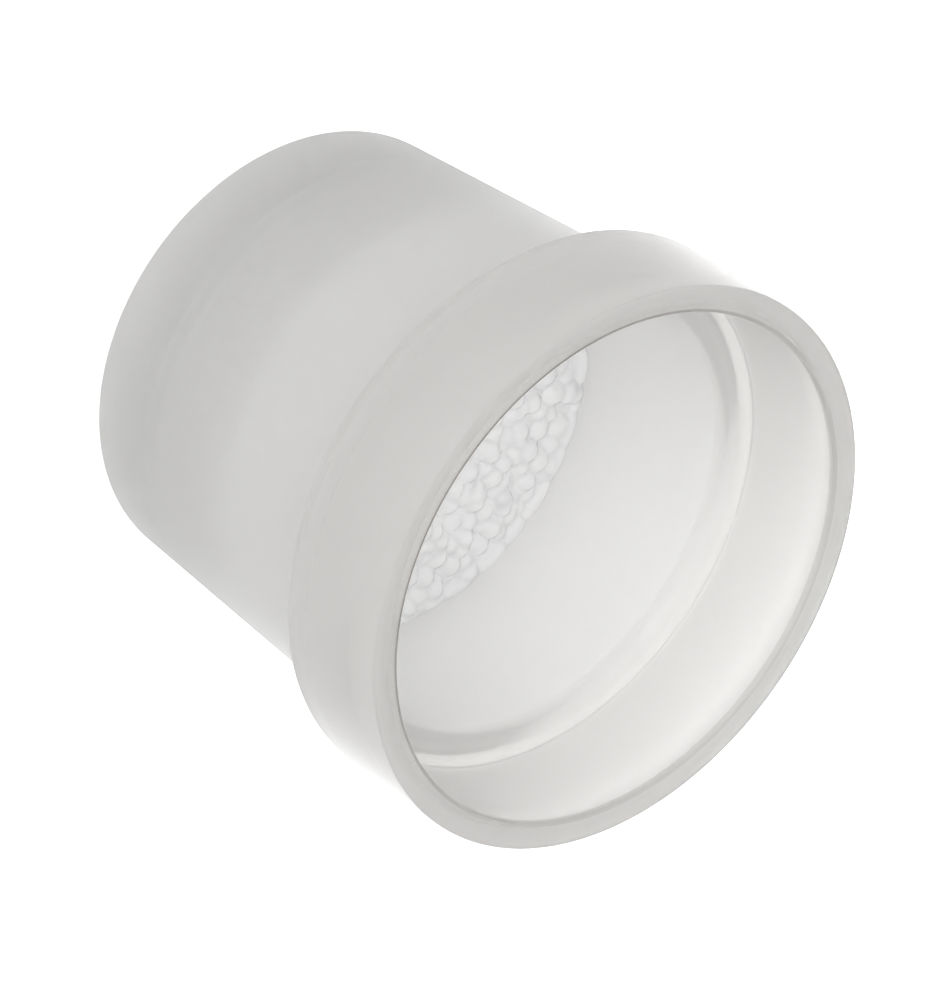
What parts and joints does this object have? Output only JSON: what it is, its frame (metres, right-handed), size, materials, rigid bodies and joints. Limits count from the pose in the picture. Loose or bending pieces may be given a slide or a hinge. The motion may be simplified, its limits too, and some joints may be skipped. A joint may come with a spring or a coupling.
{
  "type": "buchner funnel",
  "caption": "Translucent moulded filter funnel: tapered cup with a wide stepped collar, perforated support plate, filter disc and a lift-out bed of fused beads over a recessed drain.",
  "frame": {"origin": "centre of the foot ring's flat face, at the bottom of the object", "axes": "+Z is the cup's axis, from the drain towards the open end; the object is round about it, so X and Y are any two directions across, with one rib of six along +X"},
  "size_m": [0.066, 0.066, 0.0584],
  "materials": {
    "cup_plastic": "translucent natural polypropylene, moulded, semi-gloss",
    "plate_plastic": "opaque white polypropylene, satin",
    "seal_rubber": "translucent grey silicone, matt",
    "disc_felt": "pressed glass-fibre felt",
    "bead_plastic": "clear fused beads, glossy, with cloudy joints"
  },
  "bodies": {
    "cup": {"funnel_body": "cup_plastic"},
    "plate": {"support_plate": "plate_plastic", "plate_seal": "seal_rubber"},
    "disc": {"filter_disc": "disc_felt"},
    "bed": {"bead_bed": "bead_plastic"}
  },
  "joints": [
    {"name": "plate_lift", "type": "slide", "parent": "cup", "child": "plate", "axis": [0, 0, 1], "range_m": [0, 0.06]},
    {"name": "disc_lift", "type": "slide", "parent": "plate", "child": "disc", "axis": [0, 0, 1], "range_m": [0, 0.06]},
    {"name": "bed_lift", "type": "slide", "parent": "disc", "child": "bed", "axis": [0, 0, 1], "range_m": [0, 0.06]}
  ]
}
